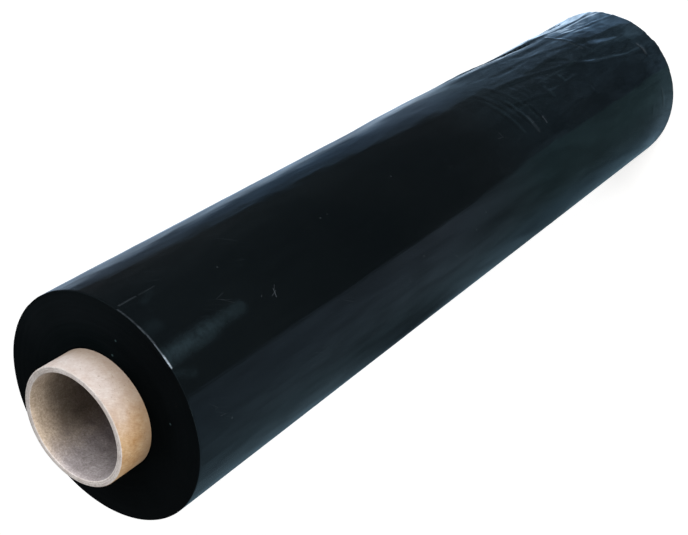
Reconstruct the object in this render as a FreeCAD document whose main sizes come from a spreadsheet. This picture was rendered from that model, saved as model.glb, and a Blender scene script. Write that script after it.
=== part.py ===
import FreeCAD, Part
import math
import os
import Sketcher

# Stretch wrap roll: black film wound on a paperboard core tube.
# It stands on the core's lower ring, with +Z along the axis and the origin at that ring's centre.

DOC = FreeCAD.newDocument("stretch_wrap_roll")

# Driving sizes, in millimetres, degrees or plain counts
SIZES = (
    ("film_width", 500.0, "width of the film, along the axis"),
    ("film_od", 110.0, "outer diameter of the wound film"),
    ("core_bore", 50.8, "inner diameter of the core, two inches"),
    ("core_wall", 3.0, "wall of the core tube"),
    ("core_overhang", 17.5, "length of core bare of film at each end"),
    ("core_rim_round", 0.7, "rounding of the core's outer rims"),
    ("core_rim_ease", 0.4, "worn bevel of the core's inner rims"),
    ("ply_count", 3, "plies that show on the core's cut rims"),
    ("ply_gap_width", 0.16, "width of the line between two plies"),
    ("ply_gap_depth", 0.20, "depth of the line between two plies"),
    ("turn_bands", 12, "bands of turns that show on the film's ends"),
    ("turn_creep", 0.40, "most that a band has crept along the axis"),
    ("film_rim_bevel", 0.60, "worn edge of the film's outer rims"),
    ("tail_step", 0.30, "step where the outer end lies on the turn below"),
    ("tail_angle", -108.0, "place of that step, in degrees from +X towards +Y"),
    ("crease_rise", 0.5, "most that a crease in the film stands proud"),
    ("crease_depth", 1.6, "height of a crease's whole section, most of it sunk in the film"),
    ("crease_shift", 5.0, "how far off the axis creases are centred, so that their ends fade out"),
    ("front_creases", 199.0, "middle height of the front creases"),
    ("back_creases", 136.0, "middle height of the back creases"),
    ("fold_length", 126.0, "length of the fold that runs up the film's side"),
    ("fold_height", 108.0, "height of that fold's middle"),
    ("fold_angle", -66.0, "place of that fold, in degrees from +X towards +Y"),
)

# Groups of creases that run round the film: the alias of their middle height, then place and tilt
# in degrees, then for each crease its height off the middle in mm and its share of the full rise
CREASES = (
    ("front_creases", -73.0, 1.3, ((15.5, 1.0), (4.5, 0.7), (-8.0, 1.0), (-15.5, 0.8))),
    ("back_creases", 66.0, -1.8, ((10.0, 0.8), (-10.0, 1.0))),
)

# Radii and heights that the pieces share, as expressions on the sheet
CORE_IN = "Sizes.core_bore / 2"
CORE_OUT = "(Sizes.core_bore / 2 + Sizes.core_wall)"
FILM_OUT = "Sizes.film_od / 2"
FILM_BUILD = f"({FILM_OUT} - {CORE_OUT})"
FILM_LOW = "Sizes.core_overhang"
FILM_HIGH = "(Sizes.core_overhang + Sizes.film_width)"
CORE_LENGTH = "(Sizes.film_width + 2 * Sizes.core_overhang)"

GOLDEN_TURN = 2.39996  # radians, spreads the bands' creep with no repeat
BAND_UNEVENNESS = 0.45  # share by which one band is wider than another
CUT_CLEARANCE = 2.0  # mm that a cutting outline reaches past the film
ROUND_TOLERANCE = 1e-6


def fill_sheet():
    """The spreadsheet of driving sizes."""
    sheet = DOC.addObject("Spreadsheet::Sheet", "Sizes")
    for row, (alias, value, meaning) in enumerate(SIZES, start=1):
        sheet.set(f"A{row}", meaning)
        sheet.set(f"B{row}", str(value))
        sheet.setAlias(f"B{row}", alias)
    DOC.recompute()
    return sheet


def new_body(name):
    """An empty body whose label names the node."""
    body = DOC.addObject("PartDesign::Body", name)
    body.Label = name
    return body


def new_sketch(body, name, role):
    """A sketch on one of the body's own origin planes."""
    planes = [plane for plane in body.Origin.OriginFeatures if plane.Role == role]
    sketch = body.newObject("Sketcher::SketchObject", name)
    sketch.AttachmentSupport = [(planes[0], "")]
    sketch.MapMode = "FlatFace"
    return sketch


def value_of(expression):
    """What an expression on the sheet comes to now."""
    return float(DOC.Sizes.evalExpression(expression))


def pin(sketch, kind, curve, end, expression):
    """Hold one end of a curve at a distance from the sketch's origin."""
    size = value_of(expression)
    constraint = Sketcher.Constraint(kind, -1, 1, curve, end, size)
    index = sketch.addConstraint(constraint)
    sketch.setExpression(f"Constraints[{index}]", expression)


def draw_outline(sketch, corners):
    """A closed outline of straight lines, its corners pairs of expressions."""
    points = [FreeCAD.Vector(value_of(x), value_of(y), 0) for x, y in corners]
    count = len(points)
    first = sketch.GeometryCount
    for index in range(count):
        line = Part.LineSegment(points[index], points[(index + 1) % count])
        sketch.addGeometry(line, False)
    for index in range(count):
        following = first + (index + 1) % count
        meet = Sketcher.Constraint("Coincident", first + index, 2, following, 1)
        sketch.addConstraint(meet)
    for index, (x, y) in enumerate(corners):
        pin(sketch, "DistanceX", first + index, 1, x)
        pin(sketch, "DistanceY", first + index, 1, y)


def turned(body, kind, name, sketch):
    """A full turn of a sketch about the roll's axis, added or cut away."""
    feature = body.newObject(kind, name)
    feature.Profile = sketch
    feature.ReferenceAxis = (sketch, ["V_Axis"])
    feature.Angle = 360
    return feature


def circle_edges(shape, radius):
    """Names of the edges that are whole circles of that radius."""
    names = []
    for index, edge in enumerate(shape.Edges, start=1):
        if isinstance(edge.Curve, Part.Circle) and abs(edge.Curve.Radius - radius) < ROUND_TOLERANCE:
            names.append(f"Edge{index}")
    return names


def make_core_tube():
    """The paperboard tube: a turned wall, rounded and worn rims, and lines between plies."""
    body = new_body("core_tube")
    wall = new_sketch(body, "core_wall_section", "XZ_Plane")
    corners = [(CORE_IN, "0"), (CORE_OUT, "0"), (CORE_OUT, CORE_LENGTH), (CORE_IN, CORE_LENGTH)]
    draw_outline(wall, corners)
    tube = turned(body, "PartDesign::Revolution", "core_wall_turned", wall)
    DOC.recompute()

    rims = body.newObject("PartDesign::Fillet", "core_outer_rims_rounded")
    rims.Base = (tube, circle_edges(tube.Shape, value_of(CORE_OUT)))
    rims.setExpression("Radius", "Sizes.core_rim_round")
    DOC.recompute()

    eased = body.newObject("PartDesign::Chamfer", "core_inner_rims_eased")
    eased.Base = (rims, circle_edges(rims.Shape, value_of(CORE_IN)))
    eased.setExpression("Size", "Sizes.core_rim_ease")
    DOC.recompute()

    plies = new_sketch(body, "core_ply_lines", "XZ_Plane")
    ply_count = int(value_of("Sizes.ply_count"))
    for ply in range(1, ply_count):
        middle = f"({CORE_IN} + Sizes.core_wall * {ply} / Sizes.ply_count)"
        inner = f"{middle} - Sizes.ply_gap_width / 2"
        outer = f"{middle} + Sizes.ply_gap_width / 2"
        for face, into in (("0", "+"), (CORE_LENGTH, "-")):
            floor = f"{face} {into} Sizes.ply_gap_depth"
            past = f"{face} {'-' if into == '+' else '+'} Sizes.ply_gap_depth"
            draw_outline(plies, [(inner, past), (outer, past), (outer, floor), (inner, floor)])
    turned(body, "PartDesign::Groove", "core_ply_lines_cut", plies)
    DOC.recompute()
    return body


def draw_wound_section(sketch):
    """The film's outer turn, two arcs that differ by the tail's step, round the core."""
    radius = value_of(FILM_OUT)
    step = value_of("Sizes.tail_step")
    up = FreeCAD.Vector(0, 0, 1)
    high_circle = Part.Circle(FreeCAD.Vector(0, 0, 0), up, radius)
    low_circle = Part.Circle(FreeCAD.Vector(-step / 2, 0, 0), up, radius - step / 2)
    high = sketch.addGeometry(Part.ArcOfCircle(high_circle, 0, math.pi), False)
    low = sketch.addGeometry(Part.ArcOfCircle(low_circle, math.pi, 2 * math.pi), False)
    tail = Part.LineSegment(FreeCAD.Vector(radius - step, 0, 0), FreeCAD.Vector(radius, 0, 0))
    tail = sketch.addGeometry(tail, False)
    bore = sketch.addGeometry(Part.Circle(FreeCAD.Vector(0, 0, 0), up, value_of(CORE_OUT)), False)
    sketch.addConstraint(Sketcher.Constraint("Coincident", high, 2, low, 1))
    sketch.addConstraint(Sketcher.Constraint("Coincident", low, 2, tail, 1))
    sketch.addConstraint(Sketcher.Constraint("Coincident", tail, 2, high, 1))
    sketch.addConstraint(Sketcher.Constraint("Coincident", high, 3, -1, 1))
    sketch.addConstraint(Sketcher.Constraint("Coincident", bore, 3, -1, 1))
    sketch.addConstraint(Sketcher.Constraint("PointOnObject", high, 1, -1))
    sketch.addConstraint(Sketcher.Constraint("PointOnObject", high, 2, -1))
    sketch.addConstraint(Sketcher.Constraint("PointOnObject", low, 3, -1))
    sketch.addConstraint(Sketcher.Constraint("PointOnObject", tail, 1, -1))
    for curve, size, expression in (
        (high, radius, FILM_OUT),
        (low, radius - step / 2, f"{FILM_OUT} - Sizes.tail_step / 2"),
        (bore, value_of(CORE_OUT), CORE_OUT),
    ):
        index = sketch.addConstraint(Sketcher.Constraint("Radius", curve, size))
        sketch.setExpression(f"Constraints[{index}]", expression)


def band_edges(count):
    """Where each band of turns starts and ends, as shares of the film's build."""
    widths = [1 + BAND_UNEVENNESS * math.sin(GOLDEN_TURN * band) for band in range(count)]
    edges = [0.0]
    for width in widths:
        edges.append(edges[-1] + width / sum(widths))
    return edges


def end_outline(face, into, count):
    """What is cut off one end of the film: a step for each band, and the rim's bevel."""
    edges = band_edges(count)
    out = "-" if into == "+" else "+"
    past = f"{face} {out} {CUT_CLEARANCE} * Sizes.turn_creep"
    inside = f"{CORE_OUT} - Sizes.core_wall / 2"
    bevel = "Sizes.film_rim_bevel"
    corners = [(inside, past), (f"{FILM_OUT} + {bevel}", past)]
    corners.append((f"{FILM_OUT} + {bevel}", f"{face} {into} 2 * {bevel}"))
    for band in reversed(range(count)):
        creep = 0.0 if band == count - 1 else math.sin(GOLDEN_TURN * band)
        height = f"{face} + Sizes.turn_creep * {creep:.4f}"
        outer = f"{CORE_OUT} + {FILM_BUILD} * {edges[band + 1]:.4f}"
        inner = f"{CORE_OUT} + {FILM_BUILD} * {edges[band]:.4f}"
        if band == count - 1:
            outer = f"{FILM_OUT} - {bevel}"
        if band == 0:
            inner = inside
        corners += [(outer, height), (inner, height)]
    return corners


def crease_group(body, alias, place, tilt, creases):
    """Creases that run round part of the film: turned about a shifted axis, they fade out at both ends."""
    section = new_sketch(body, f"film_{alias}_section", "XZ_Plane")
    swing = FreeCAD.Rotation(FreeCAD.Vector(0, 1, 0), place)
    lean = FreeCAD.Rotation(FreeCAD.Vector(1, 0, 0), tilt)
    section.AttachmentOffset = FreeCAD.Placement(FreeCAD.Vector(0, 0, 0), swing * lean)
    section.setExpression(".AttachmentOffset.Base.x", f"Sizes.crease_shift * cos({place} deg)")
    section.setExpression(".AttachmentOffset.Base.y", f"Sizes.{alias}")
    section.setExpression(".AttachmentOffset.Base.z", f"-Sizes.crease_shift * sin({place} deg)")
    for height, share in creases:
        crest = f"{FILM_OUT} - Sizes.crease_shift + Sizes.crease_rise * {share}"
        root = f"{crest} - Sizes.crease_depth"
        low = f"{height} - Sizes.crease_depth"
        high = f"{height} + Sizes.crease_depth"
        draw_outline(section, [(root, low), (crest, f"{height}"), (root, high)])
    turned(body, "PartDesign::Revolution", f"film_{alias}", section)
    DOC.recompute()


def raise_fold(body):
    """The long low fold that runs up the film's side."""
    fold = body.newObject("PartDesign::AdditiveEllipsoid", "film_fold")
    planes = [plane for plane in body.Origin.OriginFeatures if plane.Role == "XY_Plane"]
    fold.AttachmentSupport = [(planes[0], "")]
    fold.MapMode = "FlatFace"
    centre = f"({FILM_OUT} + Sizes.crease_rise - Sizes.crease_depth)"
    reach = "sqrt(1 - (1 - Sizes.crease_rise / Sizes.crease_depth) ^ 2)"
    for socket, expression in (
        (".AttachmentOffset.Base.x", f"{centre} * cos(Sizes.fold_angle * 1 deg)"),
        (".AttachmentOffset.Base.y", f"{centre} * sin(Sizes.fold_angle * 1 deg)"),
        (".AttachmentOffset.Base.z", "Sizes.fold_height"),
        ("Radius1", f"Sizes.fold_length / 2 / {reach}"),
        ("Radius2", "Sizes.crease_depth"),
        ("Radius3", "Sizes.crease_depth"),
    ):
        fold.setExpression(socket, expression)
    DOC.recompute()


def make_film_roll():
    """The wound film: one solid, its turns shown on both ends and at the tail."""
    body = new_body("film_roll")
    section = new_sketch(body, "film_wound_section", "XY_Plane")
    draw_wound_section(section)
    section.setExpression(".AttachmentOffset.Base.z", f"{FILM_LOW} - Sizes.turn_creep")
    section.setExpression(".AttachmentOffset.Rotation.Angle", "Sizes.tail_angle")
    wound = body.newObject("PartDesign::Pad", "film_wound")
    wound.Profile = section
    wound.setExpression("Length", "Sizes.film_width + 2 * Sizes.turn_creep")
    DOC.recompute()

    count = int(value_of("Sizes.turn_bands"))
    for name, face, into in (("lower", FILM_LOW, "+"), ("upper", FILM_HIGH, "-")):
        turns = new_sketch(body, f"film_{name}_end_turns", "XZ_Plane")
        draw_outline(turns, end_outline(face, into, count))
        turned(body, "PartDesign::Groove", f"film_{name}_end", turns)
        DOC.recompute()
    for group in CREASES:
        crease_group(body, *group)
    raise_fold(body)
    return body


def check_and_write(pieces):
    """Stop on anything that failed, then write each piece under its label."""
    DOC.recompute()
    for thing in DOC.Objects:
        if "Invalid" in thing.State or "Error" in thing.State:
            raise RuntimeError(f"{thing.Name} failed: {thing.State}")
    os.makedirs("parts", exist_ok=True)
    for piece in pieces:
        shape = piece.Shape
        if shape.isNull() or not shape.isValid() or len(shape.Solids) != 1:
            raise RuntimeError(f"{piece.Label} is not one sound solid")
        shape.exportStep(f"parts/{piece.Label}.step")
        print(piece.Label, round(shape.Volume), shape.BoundBox)


fill_sheet()
check_and_write([make_core_tube(), make_film_roll()])
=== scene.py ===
import math

import bpy
import numpy as np
from mathutils import Matrix, Vector


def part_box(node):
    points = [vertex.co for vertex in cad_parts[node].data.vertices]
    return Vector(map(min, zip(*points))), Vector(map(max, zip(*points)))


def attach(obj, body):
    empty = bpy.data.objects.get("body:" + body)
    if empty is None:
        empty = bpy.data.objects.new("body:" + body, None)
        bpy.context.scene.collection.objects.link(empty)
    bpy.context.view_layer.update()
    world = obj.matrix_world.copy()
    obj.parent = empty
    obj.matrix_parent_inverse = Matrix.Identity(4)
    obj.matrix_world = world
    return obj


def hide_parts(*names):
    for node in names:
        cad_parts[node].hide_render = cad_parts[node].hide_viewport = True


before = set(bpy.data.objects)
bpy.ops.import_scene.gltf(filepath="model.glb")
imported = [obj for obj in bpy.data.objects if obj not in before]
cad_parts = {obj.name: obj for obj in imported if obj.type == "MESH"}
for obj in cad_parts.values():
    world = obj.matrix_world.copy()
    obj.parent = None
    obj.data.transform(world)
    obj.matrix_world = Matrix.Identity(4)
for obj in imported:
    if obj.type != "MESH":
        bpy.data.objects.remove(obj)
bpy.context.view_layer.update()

# A roll of black stretch film on its paperboard core, standing on the core's lower ring.
# Heights run up the roll's axis. Angles run round it, in degrees from +X towards +Y, and -90 faces the camera.

MM = 0.001


# Sizes from the frame

def radii_of(node):
    """The smallest and largest radius of a turned part, in metres."""
    distances = [math.hypot(v.co.x, v.co.y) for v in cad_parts[node].data.vertices]
    return min(distances), max(distances)


CORE_IN, CORE_OUT = radii_of("core_tube")
FILM_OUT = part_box("film_roll")[1].x
CORE_LOW, CORE_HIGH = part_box("core_tube")[0].z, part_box("core_tube")[1].z
CORE_BARE = 17.5 * MM
FILM_LOW, FILM_HIGH = CORE_LOW + CORE_BARE, CORE_HIGH - CORE_BARE
FILM_MIDDLE = (FILM_LOW + FILM_HIGH) / 2
FILM_IN = CORE_OUT + 0.1 * MM
TAIL_ANGLE = -108.0
WRINKLED_TOP = 222 * MM
FILM_COLUMNS, CORE_COLUMNS = 300, 200
CAMERA_PLACE = (-0.0068, -0.4575, 0.8264)

# Creases in the outer film: angle and height of one end, of the other end, then width and rise in mm.
CREASES = (
    (-90, 214, -54, 221, 1.6, 0.10),
    (-84, 208, -50, 217, 2.4, 0.14),
    (-93, 200, -58, 208, 1.7, 0.22),
    (-86, 197, -64, 202, 1.0, 0.09),
    (-80, 192, -46, 204, 2.1, 0.15),
    (-91, 188, -70, 191, 1.3, 0.20),
    (-78, 186, -52, 190, 1.8, 0.11),
    (-72, 179, -50, 185, 1.5, 0.09),
    (-66, 174, -66, 42, 1.6, 0.24),
    (-54, 168, -54, 98, 1.6, 0.16),
    (-92, 122, -88, 124, 1.4, 0.22),
    (-90, 38, -78, 38, 1.2, 0.30),
    (-130, 35, -115, 36, 1.0, 0.18),
    (-131, 53, -120, 53, 1.2, 0.10),
    (-60, 90, -22, 94, 1.6, 0.34),
    (35, 150, 80, 156, 1.6, 0.30),
    (40, 128, 96, 124, 1.5, 0.26),
    (118, 60, 160, 64, 1.6, 0.28),
    (-178, 170, -150, 166, 1.5, 0.14),
)
# Hollows and swellings: angle and height of the middle, half width in degrees, half height and depth in mm.
HOLLOWS = (
    (-73, 152, 5.5, 9, 0.42),
    (-60, 134, 4.5, 26, 0.34),
    (-75, 104, 8.0, 22, 0.16),
    (-44, 152, 7.0, 20, 0.40),
    (-50, 72, 8.0, 16, -0.40),
    (-38, 114, 7.0, 15, 0.30),
    (-33, 172, 8.0, 18, -0.45),
    (-18, 54, 20.0, 28, 1.1),
    (-14, 114, 17.0, 34, 0.85),
    (-12, 244, 20.0, 32, -0.6),
    (60, 90, 18.0, 32, 0.25),
    (96, 150, 18.0, 34, -0.25),
)


# Node helpers

def wire(tree, kind, *values, out=0, named=None, **settings):
    """Adds a node and gives one of its outputs. Its inputs are values or sockets; None skips one."""
    node = tree.nodes.new(kind)
    for name, value in settings.items():
        setattr(node, name, value)
    pairs = list(zip(node.inputs, values))
    pairs += [(node.inputs[label], value) for label, value in (named or {}).items()]
    for socket, value in pairs:
        if isinstance(value, bpy.types.NodeSocket):
            tree.links.new(value, socket)
        elif value is not None:
            socket.default_value = value
    return node.outputs[out]


def calc(tree, operation, *values, clamp=False):
    """A Math node's result."""
    return wire(tree, "ShaderNodeMath", *values, operation=operation, use_clamp=clamp)


def vector_calc(tree, operation, *values, out=0):
    """A Vector Math node's result."""
    return wire(tree, "ShaderNodeVectorMath", *values, out=out, operation=operation)


def vector_scale(tree, vector, factor):
    """A vector or colour times a number."""
    return wire(tree, "ShaderNodeVectorMath", vector, operation="SCALE", named={"Scale": factor})


def product(tree, first, *others):
    """Several values times each other."""
    for other in others:
        first = calc(tree, "MULTIPLY", first, other)
    return first


def step_up(tree, value, low, high, to_low=0.0, to_high=1.0):
    """A smooth change from to_low to to_high while value goes from low to high."""
    return wire(
        tree, "ShaderNodeMapRange", value, low, high, to_low, to_high,
        interpolation_type="SMOOTHSTEP", clamp=True,
    )


def facing(tree, angle, towards, low, high, to_low=0.0, to_high=1.0):
    """A smooth change from to_low to to_high while the surface turns to face an angle in degrees.

    Low and high are cosines of the angle that is left between the two."""
    turned = calc(tree, "COSINE", calc(tree, "SUBTRACT", angle, math.radians(towards)))
    return step_up(tree, turned, low, high, to_low, to_high)


def noise(tree, vector, scale, detail=2.0, roughness=0.5, distortion=0.0):
    """A Noise Texture's value, about 0.5 on average."""
    named = {"Scale": scale, "Detail": detail, "Roughness": roughness, "Distortion": distortion}
    return wire(tree, "ShaderNodeTexNoise", vector, named=named)


def new_tree(name, kind, inputs, outputs):
    """A node group, its input sockets by name, and its output sockets by name."""
    tree = bpy.data.node_groups.new(name, kind)
    for way, sockets in (("INPUT", inputs), ("OUTPUT", outputs)):
        for label, socket_type, default in sockets:
            socket = tree.interface.new_socket(label, in_out=way, socket_type="NodeSocket" + socket_type)
            if default is not None:
                socket.default_value = default
    begin = tree.nodes.new("NodeGroupInput")
    end = tree.nodes.new("NodeGroupOutput")
    return tree, begin.outputs, end.inputs


def use(tree, group, out=0, **inputs):
    """Places a node group and gives one or all of its outputs."""
    kind = "ShaderNodeGroup" if tree.bl_idname == "ShaderNodeTree" else "GeometryNodeGroup"
    outputs = wire(tree, kind, named=inputs, node_tree=group).node.outputs
    return outputs if out is None else outputs[out]


def polar(tree, vector):
    """Angle, radius and height of a position."""
    parts = tree.nodes.new("ShaderNodeSeparateXYZ")
    tree.links.new(vector, parts.inputs[0])
    x, y, z = parts.outputs
    angle = calc(tree, "ARCTAN2", y, x)
    squares = calc(tree, "ADD", calc(tree, "MULTIPLY", x, x), calc(tree, "MULTIPLY", y, y))
    return angle, calc(tree, "SQRT", squares), z


def around(tree, angle, height, girth, stretch, twist=0.0):
    """A position that closes on itself round the roll, for patterns that run with it.

    Girth is how many features there are per radian and stretch how many per metre of height.
    Twist turns the pattern as it climbs, in radians per metre."""
    turned = calc(tree, "MULTIPLY_ADD", height, -twist, angle)
    x = calc(tree, "MULTIPLY", calc(tree, "COSINE", turned), girth)
    y = calc(tree, "MULTIPLY", calc(tree, "SINE", turned), girth)
    z = calc(tree, "MULTIPLY", height, stretch)
    return wire(tree, "ShaderNodeCombineXYZ", x, y, z)


def unrolled(tree, angle, height):
    """The place on the film's flattened side, in mm: round the roll, then up it."""
    along = calc(tree, "MULTIPLY", angle, FILM_OUT / MM)
    return wire(tree, "ShaderNodeCombineXYZ", along, calc(tree, "MULTIPLY", height, 1 / MM), 0.0)


def line_group(kind):
    """A group for a short line on the flattened surface: how far off it a place is, and how far along."""
    tree, given, result = new_tree(
        "line on the film", kind,
        [("Place", "Vector", None), ("From", "Vector", None), ("To", "Vector", None)],
        [("Off", "Float", None), ("Along", "Float", None)],
    )
    run = vector_calc(tree, "SUBTRACT", given["To"], given["From"])
    reach = vector_calc(tree, "SUBTRACT", given["Place"], given["From"])
    dot = vector_calc(tree, "DOT_PRODUCT", reach, run, out=1)
    length = vector_calc(tree, "DOT_PRODUCT", run, run, out=1)
    along = calc(tree, "DIVIDE", dot, length, clamp=True)
    off = vector_calc(tree, "LENGTH", vector_calc(tree, "SUBTRACT", reach, vector_scale(tree, run, along)), out=1)
    tree.links.new(off, result["Off"])
    tree.links.new(along, result["Along"])
    return tree


def line_ends(angle_1, height_1, angle_2, height_2):
    """A line's two ends on the film's flattened side, from degrees and mm."""
    scale = math.radians(1) * FILM_OUT / MM
    return (angle_1 * scale, height_1, 0.0), (angle_2 * scale, height_2, 0.0)


# Meshes

def turned_mesh(name, angles, profile):
    """A closed ring-shaped mesh: one column for each angle, one row for each (radius, height)."""
    radii = np.array([p[0] for p in profile])[:, None]
    heights = np.array([p[1] for p in profile])[:, None] + 0 * angles
    points = np.stack([radii * np.cos(angles), radii * np.sin(angles), heights], axis=-1)
    index = np.arange(heights.size).reshape(heights.shape)
    right = np.roll(index, -1, axis=1)
    above = np.roll(index, -1, axis=0)
    corner = np.roll(right, -1, axis=0)
    faces = np.stack([index, right, corner, above], axis=-1).reshape(-1, 4)
    mesh = bpy.data.meshes.new(name)
    mesh.from_pydata(points.reshape(-1, 3).tolist(), [], faces.tolist())
    mesh.update()
    piece = bpy.data.objects.new(name, mesh)
    bpy.context.scene.collection.objects.link(piece)
    return piece


def rows(low, high, step):
    """Evenly spaced heights or radii from low up to but not including high."""
    count = max(1, round(abs(high - low) / step))
    return list(np.linspace(low, high, count, endpoint=False))


def shaped(piece, tree, inputs):
    """The piece as its node tree makes it, as a plain mesh with no modifier."""
    modifier = piece.modifiers.new("form", "NODES")
    modifier.node_group = tree
    sockets = {s.name: s for s in tree.interface.items_tree if s.in_out == "INPUT"}
    for label, value in inputs.items():
        modifier[sockets[label].identifier] = value
    bpy.context.view_layer.update()
    made = piece.evaluated_get(bpy.context.evaluated_depsgraph_get())
    mesh = bpy.data.meshes.new_from_object(made)
    piece.modifiers.clear()
    piece.data = mesh
    mesh.shade_smooth()
    return piece


# Surface groups shared by the materials

def film_group():
    """Stretched film: fine pull lines along the roll, scratches, and specks of dust."""
    tree, given, result = new_tree(
        "stretched film", "ShaderNodeTree",
        [("Vector", "Vector", None), ("Girth", "Float", 30.0), ("Stretch", "Float", 12.0), ("Dust", "Float", 0.3)],
        [("Pull", "Float", None), ("Scratch", "Float", None), ("Speck", "Float", None), ("Cloud", "Float", None)],
    )
    angle, _, height = polar(tree, given["Vector"])
    lines = around(tree, angle, height, given["Girth"], given["Stretch"])
    pull = noise(tree, lines, 1.0, detail=4.0, roughness=0.6)
    cloud = noise(tree, given["Vector"], 14.0, detail=3.0, distortion=0.4)
    cells = wire(
        tree, "ShaderNodeTexVoronoi", around(tree, angle, height, 40.0, 90.0, twist=9.0),
        feature="DISTANCE_TO_EDGE", named={"Scale": 0.35, "Randomness": 1.0},
    )
    hair = step_up(tree, cells, 0.0, 0.006, 1.0, 0.0)
    patch = step_up(tree, noise(tree, given["Vector"], 60.0, detail=1.0), 0.60, 0.68)
    scratch = calc(tree, "MULTIPLY", hair, patch)
    dots = tree.nodes.new("ShaderNodeTexVoronoi")
    dots.inputs["Scale"].default_value = 210.0
    tree.links.new(given["Vector"], dots.inputs["Vector"])
    chosen = wire(tree, "ShaderNodeSeparateColor", dots.outputs["Color"])
    close = step_up(tree, dots.outputs["Distance"], 0.05, 0.13, 1.0, 0.0)
    rare = calc(tree, "LESS_THAN", chosen, calc(tree, "MULTIPLY", given["Dust"], 0.2))
    tree.links.new(pull, result["Pull"])
    tree.links.new(scratch, result["Scratch"])
    tree.links.new(calc(tree, "MULTIPLY", close, rare), result["Speck"])
    tree.links.new(cloud, result["Cloud"])
    return tree


def fibre_group():
    """Paperboard: long fibres that follow the spiral plies, soft mottling, and dark flecks."""
    tree, given, result = new_tree(
        "paper fibre", "ShaderNodeTree",
        [("Vector", "Vector", None), ("Twist", "Float", 30.0), ("Size", "Float", 1.0)],
        [("Fibre", "Float", None), ("Mottle", "Float", None), ("Fleck", "Float", None)],
    )
    angle, _, height = polar(tree, given["Vector"])
    turned = calc(tree, "SUBTRACT", angle, calc(tree, "MULTIPLY", height, given["Twist"]))
    girth = calc(tree, "DIVIDE", 60.0, given["Size"])
    x = calc(tree, "MULTIPLY", calc(tree, "COSINE", turned), girth)
    y = calc(tree, "MULTIPLY", calc(tree, "SINE", turned), girth)
    z = calc(tree, "MULTIPLY", height, calc(tree, "DIVIDE", 420.0, given["Size"]))
    lie = wire(tree, "ShaderNodeCombineXYZ", x, y, z)
    fibre = noise(tree, lie, 1.0, detail=5.0, roughness=0.65, distortion=0.3)
    mottle = noise(tree, given["Vector"], 170.0, detail=4.0, roughness=0.6)
    flecks = noise(tree, given["Vector"], 900.0, detail=2.0, roughness=0.7)
    tree.links.new(fibre, result["Fibre"])
    tree.links.new(mottle, result["Mottle"])
    tree.links.new(step_up(tree, flecks, 0.62, 0.72), result["Fleck"])
    return tree


FILM_SURFACE = film_group()
PAPER_FIBRE = fibre_group()
LINE = line_group("ShaderNodeTree")


# Materials

def new_material(name):
    """A material's node tree, its Principled shader and the object's own coordinates."""
    made = bpy.data.materials.new(name)
    made.use_nodes = True
    tree = made.node_tree
    tree.nodes.clear()
    shader = tree.nodes.new("ShaderNodeBsdfPrincipled")
    end = tree.nodes.new("ShaderNodeOutputMaterial")
    tree.links.new(shader.outputs[0], end.inputs["Surface"])
    place = tree.nodes.new("ShaderNodeTexCoord").outputs["Object"]
    return made, tree, shader, place


def colours(tree, factor, *stops):
    """A colour ramp: stops are (position, (r, g, b))."""
    ramp = tree.nodes.new("ShaderNodeValToRGB")
    elements = ramp.color_ramp.elements
    while len(elements) < len(stops):
        elements.new(0.5)
    for element, (position, colour) in zip(elements, stops):
        element.position = position
        element.color = (*colour, 1.0)
    tree.links.new(factor, ramp.inputs[0])
    return ramp.outputs[0]


def blend_colours(tree, factor, first, second, kind="MIX"):
    """Two colours mixed by factor."""
    node = tree.nodes.new("ShaderNodeMix")
    node.data_type = "RGBA"
    node.blend_type = kind
    for socket, value in zip((node.inputs[0], node.inputs[6], node.inputs[7]), (factor, first, second)):
        if isinstance(value, bpy.types.NodeSocket):
            tree.links.new(value, socket)
        elif isinstance(value, tuple):
            socket.default_value = (*value, 1.0)
        else:
            socket.default_value = value
    return node.outputs[2]


def bump(tree, shader, height, strength):
    """Feeds the shader's normal from a height, where 1 stands out by 0.4 mm at full strength."""
    named = {"Strength": strength, "Distance": 0.4 * MM, "Height": height}
    tree.links.new(wire(tree, "ShaderNodeBump", named=named), shader.inputs["Normal"])


# Marks on the film's side: angle and height of both ends, then width in mm and strength.
# The first four rows draw a painted highlight along the upper rim; the rows on creases near heights 200, 188, 93, 38
# and 36 draw painted glints; the others are scratches and fine lines.
SCUFFS_AND_GLINTS = (
    (-92.0, 517.0, -86.5, 517.0, 0.9, 0.85),
    (-86.5, 517.0, -80.0, 517.1, 0.7, 0.24),
    (-80.0, 517.1, -70.0, 517.2, 1.2, 0.105),
    (-70.0, 517.2, -58.0, 517.2, 1.2, 0.065),
    (-56.0, 514.5, -56.1, 505, 0.7, 0.036),
    (-56.2, 503, -56.2, 494, 0.6, 0.018),
    (-91.0, 447.6, -87.0, 446.4, 0.24, 0.16),
    (-89.6, 449.4, -88.4, 445.8, 0.20, 0.09),
    (-87.6, 446.0, -85.8, 444.6, 0.20, 0.06),
    (-87.4, 455, -86.6, 454, 0.22, 0.05),
    (-92.0, 200, -82.0, 201.0, 2.2, 0.022),
    (-90.6, 188, -86.6, 188.4, 1.1, 0.050),
    (-87.0, 38, -79.0, 38.4, 2.0, 0.060),
    (-130.0, 36, -115.0, 36, 1.0, 0.030),
    (-60.0, 93, -36.0, 94, 1.6, 0.020),
    (152.0, 330, 150.0, 312, 0.4, 0.12),
    (40.0, 420, 44.0, 411, 0.4, 0.12),
)
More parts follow.
